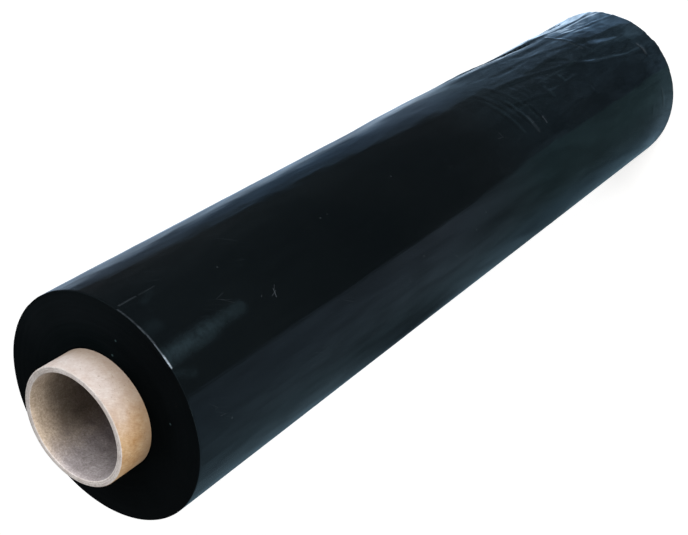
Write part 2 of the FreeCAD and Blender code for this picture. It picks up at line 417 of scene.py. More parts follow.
# Painted sheen: soft bluish streaks of reflected light, with the same columns as the marks above.
PAINTED_SHEENS = (
    (-87.6, 519, -87.0, 488, 6.5, 0.044),
    (-86.6, 500, -86.2, 468, 5.0, 0.028),
    (-61.0, 505, -58.0, 498, 3.0, 0.008),
    (-95.0, 517, -99.0, 508, 3.5, 0.012),
    (-74.0, 519, -73.0, 509, 5.0, 0.010),
    (-86.0, 201, -66.0, 205, 2.6, 0.016),
    (-86.0, 193, -64.0, 197, 2.6, 0.010),
    (-88.0, 213, -60.0, 218, 2.2, 0.010),
    (-73.0, 140, -67.0, 140, 2.6, 0.018),
    (-78.0, 163, -71.0, 163, 3.0, 0.018),
    (-66.3, 160, -66.0, 112, 1.8, 0.014),
    (-66.0, 102, -66.0, 52, 1.8, 0.014),
)


def film_side_material():
    """Glossy black film wound tight: bluish black, with pull lines, small scratches and painted highlights: a bright
    line along the upper rim, glints on creases and soft bluish sheen streaks.
    """
    made, tree, shader, place = new_material("black film side")
    angle, _, height = polar(tree, place)
    flat = unrolled(tree, angle, height)
    film = use(tree, FILM_SURFACE, out=None, Vector=place, Girth=34.0, Stretch=14.0, Dust=0.16)
    grain = noise(tree, around(tree, angle, height, 90.0, 220.0, twist=6.0), 1.0, detail=4.0, roughness=0.65)

    def drawn(lines, inner):
        """The strongest of several drawn lines, each fading out from the inner share of its width."""
        strongest = 0.0
        for *ends, width, strength in lines:
            start, stop = line_ends(*ends)
            off = use(tree, LINE, Place=flat, From=start, To=stop)
            mark = step_up(tree, off, width * inner, width, strength, 0.0)
            strongest = calc(tree, "MAXIMUM", strongest, mark)
        return strongest

    # Scratches together with painted highlights: the bright line along the upper rim and glints on creases.
    scuffs_and_glints = calc(tree, "MAXIMUM", calc(tree, "MULTIPLY", film["Scratch"], 0.05), drawn(SCUFFS_AND_GLINTS, 0.2))
    scuffs_and_glints = calc(tree, "MULTIPLY", scuffs_and_glints, step_up(tree, grain, 0.34, 0.62, 0.45, 1.0))
    # Painted sheen: the streaks are drawn patchy and lighter bluish into the colour.
    patchy = noise(tree, place, 200.0, detail=5.0, roughness=0.75)
    sheen_mask = calc(tree, "MULTIPLY", drawn(PAINTED_SHEENS, 0.0), step_up(tree, patchy, 0.25, 0.75, 0.35, 1.2))
    body = colours(tree, film["Cloud"], (0.30, (0.0022, 0.0034, 0.0042)), (0.72, (0.0036, 0.0050, 0.0058)))
    body = blend_colours(tree, sheen_mask, body, (0.24, 0.42, 0.52))
    # Scratches and painted highlights drawn lighter and bluish into the colour.
    scuffed_and_lit = blend_colours(tree, scuffs_and_glints, body, (0.42, 0.50, 0.58))
    dusty = blend_colours(tree, calc(tree, "MULTIPLY", film["Speck"], 0.12), scuffed_and_lit, (0.16, 0.20, 0.22))
    tree.links.new(dusty, shader.inputs["Base Color"])
    rough = step_up(tree, film["Pull"], 0.3, 0.75, 0.055, 0.12)
    rough = calc(tree, "MULTIPLY_ADD", scuffs_and_glints, 0.25, rough)
    tree.links.new(rough, shader.inputs["Roughness"])
    shader.inputs["Specular IOR Level"].default_value = 0.26
    shader.inputs["Specular Tint"].default_value = (0.55, 0.88, 1.0, 1.0)
    relief = calc(tree, "MULTIPLY_ADD", scuffs_and_glints, 0.5, film["Pull"])
    bump(tree, shader, relief, 0.14)
    return made


def film_end_material():
    """The cut edges of the turns: matt black with fine rings, a few caught specks, and a painted sheen that lightens
    the side facing -18 degrees.
    """
    made, tree, shader, place = new_material("black film ends")
    angle, radius, _ = polar(tree, place)
    film = use(tree, FILM_SURFACE, out=None, Vector=place, Girth=10.0, Stretch=0.0, Dust=0.05)
    ring_place = wire(tree, "ShaderNodeCombineXYZ", calc(tree, "MULTIPLY", radius, 900.0), 0.0, 0.0)
    drift = vector_scale(tree, place, 26.0)
    rings = noise(tree, vector_calc(tree, "ADD", ring_place, drift), 1.0, detail=5.0, roughness=0.7)
    broad = noise(tree, place, 30.0, detail=2.0)
    outer = step_up(tree, radius, 30 * MM, 50 * MM, -0.14, 0.10)
    tone = calc(tree, "ADD", outer, calc(tree, "MULTIPLY_ADD", rings, 0.50, calc(tree, "MULTIPLY", broad, 0.50)))
    body = colours(tree, tone, (0.30, (0.0008, 0.0017, 0.0020)), (0.70, (0.0034, 0.0046, 0.0054)))
    # Painted sheen: the ends are up to 1.9 times as light on the side facing -18 degrees.
    body = vector_scale(tree, body, facing(tree, angle, -18, 0.35, 1.0, 1.0, 1.9))
    caught = film["Speck"]
    for degrees, out in ((-60.0, 39.7), (-59.8, 31.4), (-121.5, 40.2)):
        turn = math.radians(degrees)
        spot = (out * MM * math.cos(turn), out * MM * math.sin(turn), FILM_HIGH)
        off = wire(tree, "ShaderNodeVectorMath", place, spot, operation="DISTANCE", out=1)
        caught = calc(tree, "MAXIMUM", caught, step_up(tree, off, 0.35 * MM, 0.75 * MM, 0.9, 0.0))
    dusty = blend_colours(tree, caught, body, (0.035, 0.060, 0.065))
    tree.links.new(dusty, shader.inputs["Base Color"])
    tree.links.new(step_up(tree, rings, 0.3, 0.7, 0.50, 0.66), shader.inputs["Roughness"])
    shader.inputs["Specular IOR Level"].default_value = 0.004
    bump(tree, shader, rings, 0.14)
    return made


def kraft_material():
    """The core's outer ply: kraft paper with a spiral ply seam, painted paler and pinkish on the side towards the
    lamps, and darkened next to the film by dirt and painted shade.
    """
    made, tree, shader, place = new_material("kraft ply")
    angle, _, height = polar(tree, place)
    paper = use(tree, PAPER_FIBRE, out=None, Vector=place, Twist=24.0, Size=1.0)
    speckle = noise(tree, place, 620.0, detail=4.0, roughness=0.7)
    tone = calc(tree, "MULTIPLY_ADD", paper["Fibre"], 0.35, calc(tree, "MULTIPLY", paper["Mottle"], 0.35))
    tone = calc(tree, "MULTIPLY_ADD", speckle, 0.30, tone)
    tan = colours(
        tree, tone,
        (0.36, (0.45, 0.245, 0.100)), (0.50, (0.58, 0.375, 0.200)), (0.64, (0.72, 0.53, 0.34)),
    )
    # Painted light: a pale pinkish copy of the kraft for the side that faces the lamps.
    lit_side_kraft = colours(
        tree, tone,
        (0.36, (0.53, 0.430, 0.380)), (0.50, (0.630, 0.545, 0.505)), (0.64, (0.72, 0.665, 0.635)),
    )
    front = calc(tree, "COSINE", calc(tree, "ADD", angle, math.radians(42)))
    edge = calc(tree, "MULTIPLY_ADD", noise(tree, place, 60.0, detail=3.0), 0.7, front)
    from_middle = calc(tree, "ABSOLUTE", calc(tree, "SUBTRACT", height, FILM_MIDDLE))
    clear_of_film = calc(tree, "SUBTRACT", from_middle, FILM_HIGH - FILM_MIDDLE)
    # Painted light: the pale copy covers the side facing -42 degrees, with a ragged edge, and less of it within 12
    # mm of the film.
    pale = product(
        tree, step_up(tree, edge, 0.40, 1.20), step_up(tree, clear_of_film, 1 * MM, 12 * MM, 0.66, 1.0),
    )
    body = blend_colours(tree, pale, tan, lit_side_kraft)
    flecked = blend_colours(tree, calc(tree, "MULTIPLY", paper["Fleck"], 0.45), body, (0.22, 0.13, 0.07))
    # Dirt and painted shade: the kraft turns towards dark brown within 12 mm of the film's ends.
    grime_and_shade = step_up(tree, clear_of_film, -0.5 * MM, 12 * MM, 0.64, 0.0)
    grimed_and_shaded = blend_colours(tree, grime_and_shade, flecked, (0.16, 0.12, 0.09))
    tree.links.new(grimed_and_shaded, shader.inputs["Base Color"])
    tree.links.new(step_up(tree, paper["Fibre"], 0.3, 0.7, 0.62, 0.85), shader.inputs["Roughness"])
    shader.inputs["Specular IOR Level"].default_value = 0.25
    bump(tree, shader, tone, 0.25)
    return made


def chipboard_material():
    """The bore's ply: grey chipboard, speckled, with long diagonal rub lines, and painted light and shade that
    change with depth and side.
    """
    made, tree, shader, place = new_material("grey chipboard")
    angle, _, height = polar(tree, place)
    paper = use(tree, PAPER_FIBRE, out=None, Vector=place, Twist=-34.0, Size=0.5)
    speckle = noise(tree, place, 1100.0, detail=3.0, roughness=0.7)
    tone = calc(tree, "MULTIPLY_ADD", paper["Mottle"], 0.3, calc(tree, "MULTIPLY", paper["Fibre"], 0.3))
    tone = calc(tree, "MULTIPLY_ADD", speckle, 0.4, tone)
    grey = colours(
        tree, tone,
        (0.34, (0.19, 0.162, 0.160)), (0.50, (0.350, 0.313, 0.317)), (0.66, (0.59, 0.550, 0.555)),
    )
    tan = colours(
        tree, tone,
        (0.34, (0.19, 0.142, 0.096)), (0.50, (0.340, 0.275, 0.212)), (0.66, (0.54, 0.460, 0.378)),
    )
    side = calc(tree, "COSINE", calc(tree, "SUBTRACT", angle, math.radians(50)))
    tanned = step_up(tree, calc(tree, "MULTIPLY_ADD", paper["Mottle"], 0.4, side), 0.55, 1.15)
    body = blend_colours(tree, tanned, grey, tan)
    # Painted light and shade in the bore: lighter just inside the rim round 50 and 105 degrees, darker deeper in
    # round 50 degrees, and lighter deep down on the other walls, most round 115 degrees.
    deep = calc(tree, "SUBTRACT", CORE_HIGH, height)
    level = 1.0
    for depth_part, side_part, change in (
        (step_up(tree, deep, 4 * MM, 12 * MM, 1.0, 0.0), step_up(tree, side, 0.2, 0.9), 0.38),
        (step_up(tree, deep, 7 * MM, 17 * MM), step_up(tree, side, 0.55, 0.95), -0.42),
        (step_up(tree, deep, 0.3 * MM, 4 * MM, 1.0, 0.0), facing(tree, angle, 105, 0.25, 0.85), 0.45),
        (step_up(tree, deep, 16 * MM, 32 * MM), step_up(tree, side, 0.0, 0.8, 1.0, 0.2), 0.9),
        (step_up(tree, deep, 10 * MM, 40 * MM), facing(tree, angle, 115, 0.80, 1.0), 0.35),
    ):
        level = calc(tree, "MULTIPLY_ADD", product(tree, depth_part, side_part), change, level)
    body = vector_scale(tree, body, level)
    flecked = blend_colours(tree, calc(tree, "MULTIPLY", paper["Fleck"], 0.45), body, (0.11, 0.075, 0.060))
    tree.links.new(flecked, shader.inputs["Base Color"])
    tree.links.new(step_up(tree, paper["Fibre"], 0.3, 0.7, 0.7, 0.9), shader.inputs["Roughness"])
    shader.inputs["Specular IOR Level"].default_value = 0.2
    bump(tree, shader, tone, 0.3)
    return made


def cut_rim_material():
    """The core's sawn ends: pale fuzzy board with darker lines between the plies, and painted shade on the side
    facing 28 degrees.
    """
    made, tree, shader, place = new_material("cut board")
    angle, radius, _ = polar(tree, place)
    paper = use(tree, PAPER_FIBRE, out=None, Vector=place, Twist=0.0, Size=0.5)
    depth = calc(tree, "DIVIDE", calc(tree, "SUBTRACT", radius, CORE_IN), CORE_OUT - CORE_IN)
    wavy = calc(tree, "MULTIPLY_ADD", noise(tree, place, 90.0, detail=2.0), 0.10, depth)
    within_ply = calc(tree, "FRACT", calc(tree, "MULTIPLY", wavy, 3.0))
    line = step_up(tree, calc(tree, "ABSOLUTE", calc(tree, "SUBTRACT", within_ply, 0.5)), 0.36, 0.48)
    body = colours(
        tree, paper["Mottle"],
        (0.30, (0.68, 0.61, 0.57)), (0.52, (0.84, 0.775, 0.74)), (0.75, (0.93, 0.885, 0.86)),
    )
    gaps = step_up(tree, noise(tree, place, 300.0, detail=3.0), 0.35, 0.65, 0.05, 0.40)
    lined = blend_colours(tree, product(tree, line, gaps), body, (0.38, 0.31, 0.28))
    speckle = step_up(tree, noise(tree, place, 800.0, detail=3.0, roughness=0.7), 0.32, 0.52, 0.50, 0.0)
    lined = blend_colours(tree, speckle, lined, (0.42, 0.33, 0.30))
    # Painted shade: the cut ends are up to a fifth darker on the side facing 28 degrees.
    lined = vector_scale(tree, lined, facing(tree, angle, 28, 0.35, 0.95, 1.0, 0.80))
    tree.links.new(lined, shader.inputs["Base Color"])
    shader.inputs["Roughness"].default_value = 0.85
    shader.inputs["Specular IOR Level"].default_value = 0.2
    bump(tree, shader, paper["Mottle"], 0.4)
    return made


FILM_SIDE = film_side_material()
FILM_END = film_end_material()
KRAFT = kraft_material()
CHIPBOARD = chipboard_material()
CUT_RIM = cut_rim_material()


# The wound film

def wound_film_tree():
    """Gives a plain turned roll the surface of wound film."""
    tree, given, result = new_tree(
        "wound film", "GeometryNodeTree",
        [
            ("Geometry", "Geometry", None), ("Seed", "Float", 3.0), ("Low", "Float", 0.0175),
            ("Tail angle", "Float", -1.885), ("Tail step", "Float", 0.00016), ("Wave", "Float", 0.001),
            ("Turn creep", "Float", 0.00045), ("Lip", "Float", 0.0005),
            ("Side material", "Material", None), ("End material", "Material", None),
        ],
        [("Geometry", "Geometry", None)],
    )
    line = line_group("GeometryNodeTree")
    position = tree.nodes.new("GeometryNodeInputPosition").outputs[0]
    angle, radius, height = polar(tree, position)
    seed = given["Seed"]
    start_of_pattern = wire(tree, "ShaderNodeCombineXYZ", seed, 0.0, seed)

    def waves(girth, stretch, detail=2.0, twist=0.0):
        """Soft waves round zero that run with the roll."""
        place = vector_calc(tree, "ADD", around(tree, angle, height, girth, stretch, twist), start_of_pattern)
        return calc(tree, "SUBTRACT", noise(tree, place, 1.0, detail=detail), 0.5)

    def plates(girth, stretch, twist=0.0):
        """Flat patches that each lean their own way, like film that has buckled."""
        place = vector_calc(tree, "ADD", around(tree, angle, height, girth, stretch, twist), start_of_pattern)
        cells = wire(
            tree, "ShaderNodeTexVoronoi", place, feature="SMOOTH_F1",
            named={"Scale": 1.0, "Smoothness": 0.35, "Randomness": 1.0},
        ).node
        lean = vector_calc(tree, "SUBTRACT", cells.outputs["Color"], (0.5, 0.5, 0.5))
        off = vector_calc(tree, "SUBTRACT", place, cells.outputs["Position"])
        return vector_calc(tree, "DOT_PRODUCT", off, lean, out=1)

    on_side = step_up(tree, radius, FILM_OUT - 1.0 * MM, FILM_OUT - 0.4 * MM)
    wrinkled = step_up(tree, height, WRINKLED_TOP - 36 * MM, WRINKLED_TOP - 4 * MM, 1.0, 0.0)
    buckled = product(tree, wrinkled, facing(tree, angle, -28, 0.35, 0.85, 0.10))
    slack = product(tree, wrinkled, facing(tree, angle, -62, 0.62, 0.96, 0.10))
    low_down = step_up(tree, height, 110 * MM, 165 * MM, 1.0, 0.0)
    hatched = product(tree, facing(tree, angle, -125, 0.975, 0.995), low_down)
    loose = facing(tree, angle, -25, 0.30, 0.95, 0.16)
    ridge = calc(tree, "ABSOLUTE", waves(3.6, 24.0, twist=5.0))
    ridge = calc(tree, "POWER", step_up(tree, ridge, 0.0, 0.10, 1.0, 0.0), 1.6)
    rise = 0.0
    for wave, swing, where in (
        (waves(1.6, 5.0), 0.30, None),
        (waves(3.0, 26.0), 0.60, loose),
        (waves(9.0, 12.0), 0.16, loose),
        (waves(15.0, 75.0, detail=1.0), 0.26, loose),
        (waves(5.0, 9.0, detail=1.0), 0.07, None),
        (waves(5.0, 12.0, detail=1.0), 0.35, slack),
        (plates(4.5, 11.0, twist=2.0), 2.4, buckled),
        (plates(9.0, 26.0), 0.6, slack),
        (waves(7.0, 34.0, detail=3.0, twist=4.0), 0.32, buckled),
        (waves(12.0, 42.0, detail=3.0, twist=-8.0), 0.34, slack),
        (waves(13.0, 30.0, detail=3.0, twist=9.0), 0.28, buckled),
        (waves(8.0, 30.0, detail=3.0, twist=-3.0), 0.22, slack),
        (ridge, 0.05, buckled),
        (waves(36.0, 300.0, detail=1.0), 0.09, hatched),
    ):
        if where is not None:
            wave = calc(tree, "MULTIPLY", wave, where)
        rise = calc(tree, "MULTIPLY_ADD", calc(tree, "MULTIPLY", wave, given["Wave"]), swing, rise)

    past_tail = calc(tree, "SUBTRACT", angle, given["Tail angle"])
    share = calc(tree, "FRACT", calc(tree, "DIVIDE", past_tail, 2 * math.pi))
    rise = calc(tree, "SUBTRACT", rise, calc(tree, "MULTIPLY", share, given["Tail step"]))

    flat = unrolled(tree, angle, height)
    for *ends, width, crest in CREASES:
        start, stop = line_ends(*ends)
        off, along = use(tree, line, out=None, Place=flat, From=start, To=stop)
        close = calc(tree, "POWER", calc(tree, "DIVIDE", off, width), 2.0)
        bell = calc(tree, "EXPONENT", calc(tree, "MULTIPLY", close, -1.0))
        taper = calc(tree, "SINE", calc(tree, "MULTIPLY", along, math.pi))
        bell = calc(tree, "MULTIPLY", bell, calc(tree, "MULTIPLY_ADD", taper, 0.8, 0.2))
        rise = calc(tree, "MULTIPLY_ADD", bell, crest * MM, rise)

    for at, level, wide, tall, depth in HOLLOWS:
        round_it = calc(tree, "SUBTRACT", angle, math.radians(at))
        round_it = calc(tree, "MULTIPLY", round_it, 1 / math.radians(wide))
        up_it = calc(tree, "MULTIPLY_ADD", height, 1 / (tall * MM), -level / tall)
        squares = calc(tree, "MULTIPLY_ADD", round_it, round_it, calc(tree, "MULTIPLY", up_it, up_it))
        bell = calc(tree, "EXPONENT", product(tree, squares, squares, -1.0))
        rise = calc(tree, "MULTIPLY_ADD", bell, -depth * MM, rise)

    puckers_per_radian = 76.0
    uneven = calc(tree, "MULTIPLY", waves(14.0, 20.0), 9.0)
    pucker = calc(tree, "SINE", calc(tree, "ADD", calc(tree, "MULTIPLY", angle, puckers_per_radian), uneven))
    near_rim = step_up(tree, calc(tree, "SUBTRACT", height, given["Low"]), 3 * MM, 13 * MM, 1.0, 0.0)
    pucker = product(tree, pucker, near_rim, facing(tree, angle, -90, 0.86, 0.97, 0.12))
    rise = calc(tree, "MULTIPLY_ADD", pucker, 0.07 * MM, rise)

    outward = wire(tree, "ShaderNodeCombineXYZ", calc(tree, "COSINE", angle), calc(tree, "SINE", angle), 0.0)
    rise = calc(tree, "MULTIPLY", rise, on_side)
    side_shift = vector_scale(tree, outward, rise)

    on_end = calc(tree, "SUBTRACT", 1.0, step_up(tree, radius, FILM_OUT - 0.9 * MM, FILM_OUT - 0.2 * MM))
    off_core = step_up(tree, radius, FILM_IN, FILM_IN + 0.6 * MM)
    at_top = calc(tree, "GREATER_THAN", height, FILM_MIDDLE)
    rings_per_metre = 620.0
    ring_place = calc(tree, "MULTIPLY_ADD", radius, rings_per_metre, seed)
    tilt = calc(tree, "MULTIPLY", waves(1.1, 0.0), 1.6)
    ring = wire(
        tree, "ShaderNodeTexNoise", named={"W": calc(tree, "ADD", ring_place, tilt), "Scale": 1.0, "Detail": 3.0},
        noise_dimensions="1D",
    )
    inwards = calc(tree, "MULTIPLY_ADD", at_top, -2.0, 1.0)
    end_shift = product(tree, ring, given["Turn creep"], calc(tree, "MULTIPLY", on_end, off_core), inwards)

    degrees = calc(tree, "MULTIPLY", angle, 180 / math.pi)
    lip_from = step_up(tree, degrees, -92.5, -91.5)
    lip_to = step_up(tree, degrees, -89.0, -64.0, 1.0, 0.0)
    lip_out = step_up(tree, radius, FILM_OUT - 1.4 * MM, FILM_OUT - 0.7 * MM)
    at_rim = step_up(tree, height, FILM_HIGH - 1.6 * MM, FILM_HIGH - 0.2 * MM)
    lip = product(tree, lip_from, lip_to, calc(tree, "MULTIPLY", lip_out, at_rim))
    end_shift = calc(tree, "MULTIPLY_ADD", lip, given["Lip"], end_shift)

    shift = vector_calc(tree, "ADD", side_shift, wire(tree, "ShaderNodeCombineXYZ", 0.0, 0.0, end_shift))
    moved = wire(tree, "GeometryNodeSetPosition", named={"Geometry": given["Geometry"], "Offset": shift})
    realized = wire(tree, "GeometryNodeRealizeInstances", moved)
    ends = wire(tree, "GeometryNodeSetMaterial", named={"Geometry": realized, "Material": given["End material"]})
    from_middle = calc(tree, "ABSOLUTE", calc(tree, "SUBTRACT", height, FILM_MIDDLE))
    below_rim = calc(tree, "LESS_THAN", from_middle, (FILM_HIGH - FILM_LOW) / 2 - 0.33 * MM)
    outer = calc(tree, "MULTIPLY", calc(tree, "GREATER_THAN", radius, FILM_OUT - 1.2 * MM), below_rim)
    both = wire(
        tree, "GeometryNodeSetMaterial",
        named={"Geometry": ends, "Selection": outer, "Material": given["Side material"]},
    )
    tree.links.new(both, result["Geometry"])
    return tree


def film_columns():
    """Angles of the film's columns, closer together at the tail edge and the lifted rim."""
    even = np.radians(np.arange(0, 360, 360 / FILM_COLUMNS) - 180)
    near_tail = np.radians(TAIL_ANGLE + np.array([-0.35, -0.15, -0.03, 0.03, 0.15, 0.35]))
    near_lip = np.radians(np.array([-92.6, -92.2, -91.8, -91.4, -90.9]))
    return np.unique(np.round(np.concatenate([even, near_tail, near_lip]), 6))


def film_profile():
    """The roll's section, from the lower outer edge up the side and back down the bore."""
    bevel = 0.6 * MM
    low, high = FILM_LOW + bevel, FILM_HIGH - bevel
    side = rows(low, WRINKLED_TOP, 1.4 * MM)
    side += rows(WRINKLED_TOP, high - 6 * MM, 4.5 * MM) + rows(high - 6 * MM, high, 1.0 * MM)
    corner = [(FILM_OUT - bevel + bevel * math.cos(t), bevel * math.sin(t)) for t in np.radians([0, 22, 45, 68, 90])]
    rings = rows(FILM_OUT - 1.0 * MM, FILM_IN, 1.0 * MM) + [FILM_IN]
    profile = [(FILM_OUT, z) for z in side]
    profile += [(r, high + rise) for r, rise in corner]
    profile += [(r, FILM_HIGH) for r in rings]
    profile += [(r, FILM_LOW) for r in reversed(rings)]
    profile += [(r, low - rise) for r, rise in reversed(corner[1:])]
    return profile


def make_film_roll():
    """The black film, all its turns as one closed body."""
    piece = turned_mesh("wound_film", film_columns(), film_profile())
    shaped(piece, wound_film_tree(), {
        "Seed": 3.0, "Low": FILM_LOW, "Tail angle": math.radians(TAIL_ANGLE), "Tail step": 0.16 * MM,
        "Wave": 1.0 * MM, "Turn creep": 0.45 * MM, "Lip": 0.5 * MM,
        "Side material": FILM_SIDE, "End material": FILM_END,
    })
    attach(piece, "root")
    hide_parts("film_roll")
    return piece


# The core

def board_tree():
    """Gives a plain turned tube the slight unevenness, ply grooves and seam of a spiral-wound core."""
    tree, given, result = new_tree(
        "spiral wound board", "GeometryNodeTree",
        [
            ("Geometry", "Geometry", None), ("Seed", "Float", 5.0), ("Inner radius", "Float", 0.0254),
            ("Outer radius", "Float", 0.0284), ("Waviness", "Float", 0.0001), ("Seam depth", "Float", 0.00012),
            ("Seam pitch", "Float", 0.09), ("Outside", "Material", None), ("Inside", "Material", None),
            ("Cut end", "Material", None),
        ],
        [("Geometry", "Geometry", None)],
    )
    position = tree.nodes.new("GeometryNodeInputPosition").outputs[0]
    angle, radius, height = polar(tree, position)
    seed = given["Seed"]
    lifted = wire(tree, "ShaderNodeCombineXYZ", seed, seed, seed)
    place = vector_calc(tree, "ADD", around(tree, angle, height, 1.8, 22.0), lifted)
    wave = calc(tree, "MULTIPLY", calc(tree, "SUBTRACT", noise(tree, place, 1.0), 0.5), given["Waviness"])
    climb = calc(tree, "DIVIDE", height, given["Seam pitch"])
    turn = calc(tree, "FRACT", calc(tree, "SUBTRACT", calc(tree, "DIVIDE", angle, 2 * math.pi), climb))
    off_seam = calc(tree, "ABSOLUTE", calc(tree, "SUBTRACT", turn, 0.5))
    groove = calc(tree, "MULTIPLY", step_up(tree, off_seam, 0.0, 0.012, 1.0, 0.0), given["Seam depth"])
    middle = calc(tree, "MULTIPLY", calc(tree, "ADD", given["Inner radius"], given["Outer radius"]), 0.5)
    out_side = calc(tree, "GREATER_THAN", radius, middle)
    cut = calc(tree, "MULTIPLY", groove, calc(tree, "MULTIPLY_ADD", out_side, -2.0, 1.0))
    shift = calc(tree, "ADD", wave, cut)
    outward = wire(tree, "ShaderNodeCombineXYZ", calc(tree, "COSINE", angle), calc(tree, "SINE", angle), 0.0)
    offset = vector_scale(tree, outward, shift)
    moved = wire(tree, "GeometryNodeSetPosition", named={"Geometry": given["Geometry"], "Offset": offset})
    realized = wire(tree, "GeometryNodeRealizeInstances", moved)
    painted = wire(tree, "GeometryNodeSetMaterial", named={"Geometry": realized, "Material": given["Cut end"]})
    for material, low, high in (
        ("Outside", CORE_OUT - 0.12 * MM, 1.0), ("Inside", 0.0, CORE_IN + 0.12 * MM),
    ):
        above = calc(tree, "GREATER_THAN", radius, low)
        below = calc(tree, "LESS_THAN", radius, high)
        painted = wire(
            tree, "GeometryNodeSetMaterial",
            named={
                "Geometry": painted, "Selection": calc(tree, "MULTIPLY", above, below),
                "Material": given[material],
            },
        )
    tree.links.new(painted, result["Geometry"])
    return tree


def core_profile():
    """The tube's section, with rounded rims and a groove at each line between plies."""
    rim = 0.7 * MM
    wall = CORE_OUT - CORE_IN
    arcs = [(rim * (1 - math.cos(t)), rim * (1 - math.sin(t))) for t in np.radians([0, 18, 36, 54, 72, 90])]
    half = [(0.0, 0.0)]
    for ply in (1, 2):
        at = wall * ply / 3
        half += [(at - 0.14 * MM, 0.0), (at, 0.14 * MM), (at + 0.14 * MM, 0.0)]
    crown = [(CORE_OUT - inset, drop) for inset, drop in arcs]
    crown += [(CORE_IN + at, drop) for at, drop in reversed(half[1:])]
    crown += [(CORE_IN + inset, drop) for inset, drop in reversed(arcs)]
    sides = rows(CORE_LOW + rim, CORE_HIGH - rim, 3.0 * MM)[1:]
    profile = [(CORE_OUT, z) for z in sides if z < FILM_LOW + 3 * MM or z > FILM_HIGH - 3 * MM]
    profile += [(r, CORE_HIGH - drop) for r, drop in crown]
    profile += [(CORE_IN, z) for z in reversed(sides)]
    profile += [(r, CORE_LOW + drop) for r, drop in reversed(crown)]
    return profile


def make_core_tube():
    """The paperboard core."""
    columns = np.radians(np.arange(0, 360, 360 / CORE_COLUMNS) - 180)
    piece = turned_mesh("board_core", columns, core_profile())
    shaped(piece, board_tree(), {
        "Seed": 5.0, "Inner radius": CORE_IN, "Outer radius": CORE_OUT, "Waviness": 0.10 * MM,
        "Seam depth": 0.10 * MM, "Seam pitch": 96 * MM,
        "Outside": KRAFT, "Inside": CHIPBOARD, "Cut end": CUT_RIM,
    })
    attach(piece, "root")
    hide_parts("core_tube")
    return piece


# Floor, light and camera

def flat_sheet(name, reach, height):
    """A level square under the roll, and the node tree of its own new material."""
    mesh = bpy.data.meshes.new(name)
    corners = [(-reach, -reach, height), (reach, -reach, height), (reach, reach, height), (-reach, reach, height)]
    mesh.from_pydata(corners, [], [(0, 1, 2, 3)])
    sheet = bpy.data.objects.new(name, mesh)
    bpy.context.scene.collection.objects.link(sheet)
    made = bpy.data.materials.new(name)
    made.use_nodes = True
    made.node_tree.nodes.clear()
    mesh.materials.append(made)
    return sheet, made.node_tree


def seen_directly(tree):
    """One for rays from the camera and for rays that film, board or glass send on."""
    path = tree.nodes.new("ShaderNodeLightPath").outputs
    passed_on = calc(tree, "MAXIMUM", path["Is Glossy Ray"], path["Is Transmission Ray"])
    return calc(tree, "MAXIMUM", path["Is Camera Ray"], passed_on)


def white_floor():
    """A pale floor that shows white and keeps the roll's shadow."""
    floor, tree = flat_sheet("floor", 9.0, 0.0)
    matt = wire(tree, "ShaderNodeBsdfDiffuse", (0.80, 0.80, 0.80, 1.0))
    seen = seen_directly(tree)
    place = tree.nodes.new("ShaderNodeTexCoord").outputs["Object"]
    away = wire(tree, "ShaderNodeVectorMath", place, operation="LENGTH", out=1)
    level = step_up(tree, away, 0.7, 2.4, 0.62, 0.88)
    glow = wire(tree, "ShaderNodeEmission", (1.0, 1.0, 1.0, 1.0), calc(tree, "MULTIPLY", seen, level))
    both = wire(tree, "ShaderNodeAddShader", matt, glow)
    end = tree.nodes.new("ShaderNodeOutputMaterial")
    tree.links.new(both, end.inputs["Surface"])


def mirrored_place(tree, place):
    """The angle and height on the roll's side where the camera sees a place on the floor mirrored.

    The view's own heading changes a little round the roll, which view_heading and view_swing allow for.
    The angle is found in a few rounds, each from the one before."""
    view_heading, view_swing, most_aside, rounds = 1.586, 0.124, 0.98, 5
    heading, distance, _ = polar(tree, place)
    turn = calc(tree, "FRACT", calc(tree, "DIVIDE", calc(tree, "SUBTRACT", math.pi / 2, heading), 2 * math.pi))
    heading = calc(tree, "MULTIPLY_ADD", turn, -2 * math.pi, math.pi / 2)
    angle = calc(tree, "MULTIPLY_ADD", heading, 0.5, -0.8)
    for _ in range(rounds):
        lean = calc(tree, "MULTIPLY_ADD", calc(tree, "COSINE", angle), view_swing, view_heading)
        away = calc(tree, "MULTIPLY_ADD", angle, 2.0, lean)
        aside = calc(tree, "MULTIPLY", calc(tree, "SINE", calc(tree, "SUBTRACT", away, angle)), FILM_OUT)
        off = calc(tree, "DIVIDE", aside, distance)
        off = calc(tree, "MINIMUM", calc(tree, "MAXIMUM", off, -most_aside), most_aside)
        away = calc(tree, "ADD", heading, calc(tree, "ARCSINE", off))
        angle = calc(tree, "MULTIPLY", calc(tree, "SUBTRACT", away, lean), 0.5)
    across = calc(tree, "MULTIPLY", calc(tree, "COSINE", calc(tree, "SUBTRACT", away, heading)), distance)
    inner = calc(tree, "MULTIPLY", calc(tree, "COSINE", calc(tree, "SUBTRACT", away, angle)), FILM_OUT)
    run = calc(tree, "SUBTRACT", across, inner)
    back = calc(tree, "MULTIPLY_ADD", calc(tree, "SINE", angle), FILM_OUT, -CAMERA_PLACE[1])
    height = calc(tree, "DIVIDE", calc(tree, "MULTIPLY", run, CAMERA_PLACE[2]), calc(tree, "ADD", back, run))
    return angle, height


